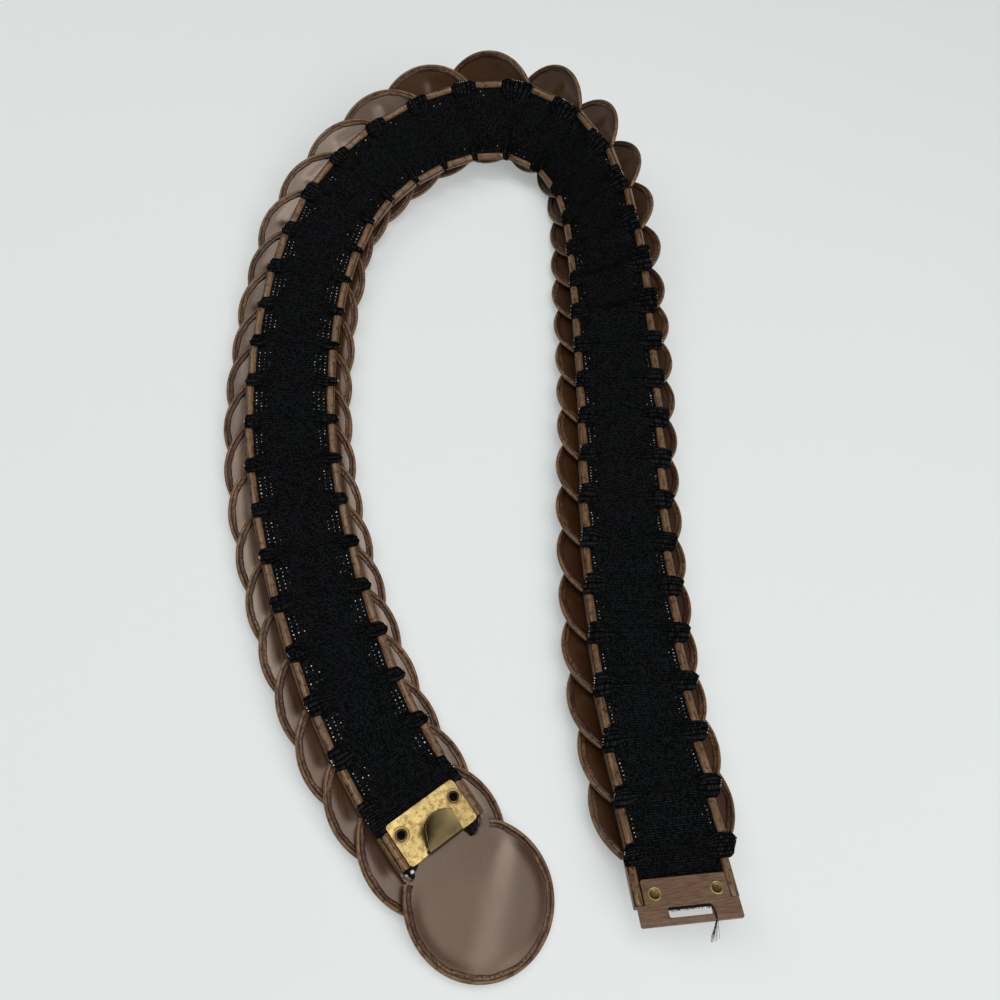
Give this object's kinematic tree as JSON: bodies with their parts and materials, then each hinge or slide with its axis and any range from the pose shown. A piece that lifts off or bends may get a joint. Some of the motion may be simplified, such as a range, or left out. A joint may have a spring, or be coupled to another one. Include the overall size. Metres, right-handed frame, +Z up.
{
  "type": "wooden disc belt",
  "caption": "Stretch waist belt of overlapping wood-grain discs crimped to ribbed elastic, laid open back side up, with a hook plate and a slotted plate.",
  "frame": {"origin": "middle of the belt's box, on the surface that it lies on", "axes": "+Z up out of the belt's back, +Y from the two open ends towards the bend, +X from the hook leg to the slotted leg"},
  "size_m": [0.239, 0.397, 0.0438],
  "materials": {
    "wood_grain": "satin brown wood grain on folded rims and tabs, smooth mauve-brown back faces",
    "elastic": "black ribbed knitted elastic with pale rubber ends along its edges",
    "brass": "aged brass with brown patina",
    "walnut": "satin walnut grain across the plate"
  },
  "bodies": {
    "root": {"scale_01": "wood_grain", "scale_02": "wood_grain", "scale_03": "wood_grain", "scale_04": "wood_grain", "scale_05": "wood_grain", "scale_06": "wood_grain", "scale_07": "wood_grain", "scale_08": "wood_grain", "scale_09": "wood_grain", "scale_10": "wood_grain", "scale_11": "wood_grain", "scale_12": "wood_grain", "scale_13": "wood_grain", "scale_14": "wood_grain", "scale_15": "wood_grain", "scale_16": "wood_grain", "scale_17": "wood_grain", "scale_18": "wood_grain", "scale_19": "wood_grain", "scale_20": "wood_grain", "scale_21": "wood_grain", "scale_22": "wood_grain", "scale_23": "wood_grain", "scale_24": "wood_grain", "scale_25": "wood_grain", "scale_26": "wood_grain", "scale_27": "wood_grain", "scale_28": "wood_grain", "scale_29": "wood_grain", "scale_30": "wood_grain", "scale_31": "wood_grain", "scale_32": "wood_grain", "scale_33": "wood_grain", "scale_34": "wood_grain", "scale_35": "wood_grain", "scale_36": "wood_grain", "scale_37": "wood_grain", "scale_38": "wood_grain", "scale_39": "wood_grain", "elastic_band": "elastic", "hook_plate": "brass", "hook_eyelet_outer": "brass", "hook_eyelet_inner": "brass", "slot_plate": "walnut", "slot_eyelet_outer": "brass", "slot_eyelet_inner": "brass"}
  },
  "joints": []
}
